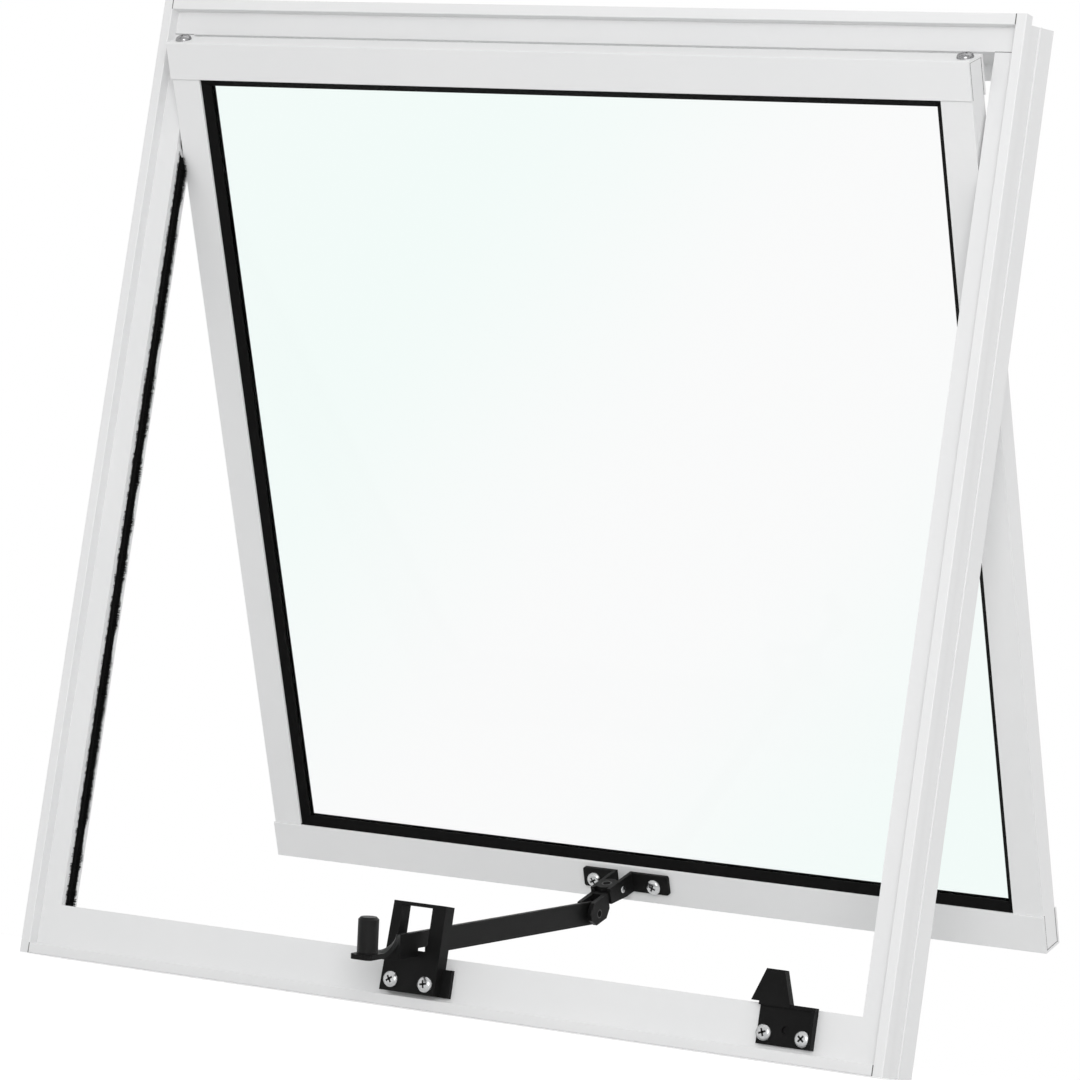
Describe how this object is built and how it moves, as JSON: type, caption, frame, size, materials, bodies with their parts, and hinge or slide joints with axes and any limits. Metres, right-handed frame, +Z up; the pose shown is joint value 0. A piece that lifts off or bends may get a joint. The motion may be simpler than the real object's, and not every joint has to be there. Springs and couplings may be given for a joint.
{
  "type": "top hung awning window",
  "caption": "Square white aluminium awning window with a clear glass sash pivoted near its top and held open by a black twisted stay arm that slides through a guide on the sill.",
  "frame": {"origin": "centre of the flat underside of the sill, midway across the width and the depth behind the lip", "axes": "+X to the right seen from the room, +Y outwards through the wall, +Z up"},
  "size_m": [0.6, 0.3088, 0.6],
  "materials": {
    "white_aluminium": "satin white powder coat",
    "clear_glass": "clear float glass with a faint green tint",
    "black_gasket": "matt black rubber",
    "black_pile": "black woven pile brush",
    "black_metal": "satin black paint",
    "black_knob": "satin black moulded plastic",
    "pin_steel": "black zinc plate"
  },
  "bodies": {
    "root": {"frame_head": "white_aluminium", "frame_sill": "white_aluminium", "frame_left_jamb": "white_aluminium", "frame_right_jamb": "white_aluminium", "sash_top_rail": "white_aluminium", "sash_bottom_rail": "white_aluminium", "sash_left_stile": "white_aluminium", "sash_right_stile": "white_aluminium", "glass_pane": "clear_glass", "glazing_gasket_top": "black_gasket", "glazing_gasket_bottom": "black_gasket", "glazing_gasket_left": "black_gasket", "glazing_gasket_right": "black_gasket", "left_pile_seal": "black_pile", "right_pile_seal": "black_pile", "arm_guide": "black_metal", "stay_arm": "black_metal", "swivel_fork": "black_metal", "sash_bracket": "black_metal", "locking_keep": "black_metal", "arm_knob": "black_knob", "left_pivot_pin": "pin_steel", "right_pivot_pin": "pin_steel", "swivel_pin": "pin_steel", "tilt_pin": "pin_steel"}
  },
  "joints": []
}
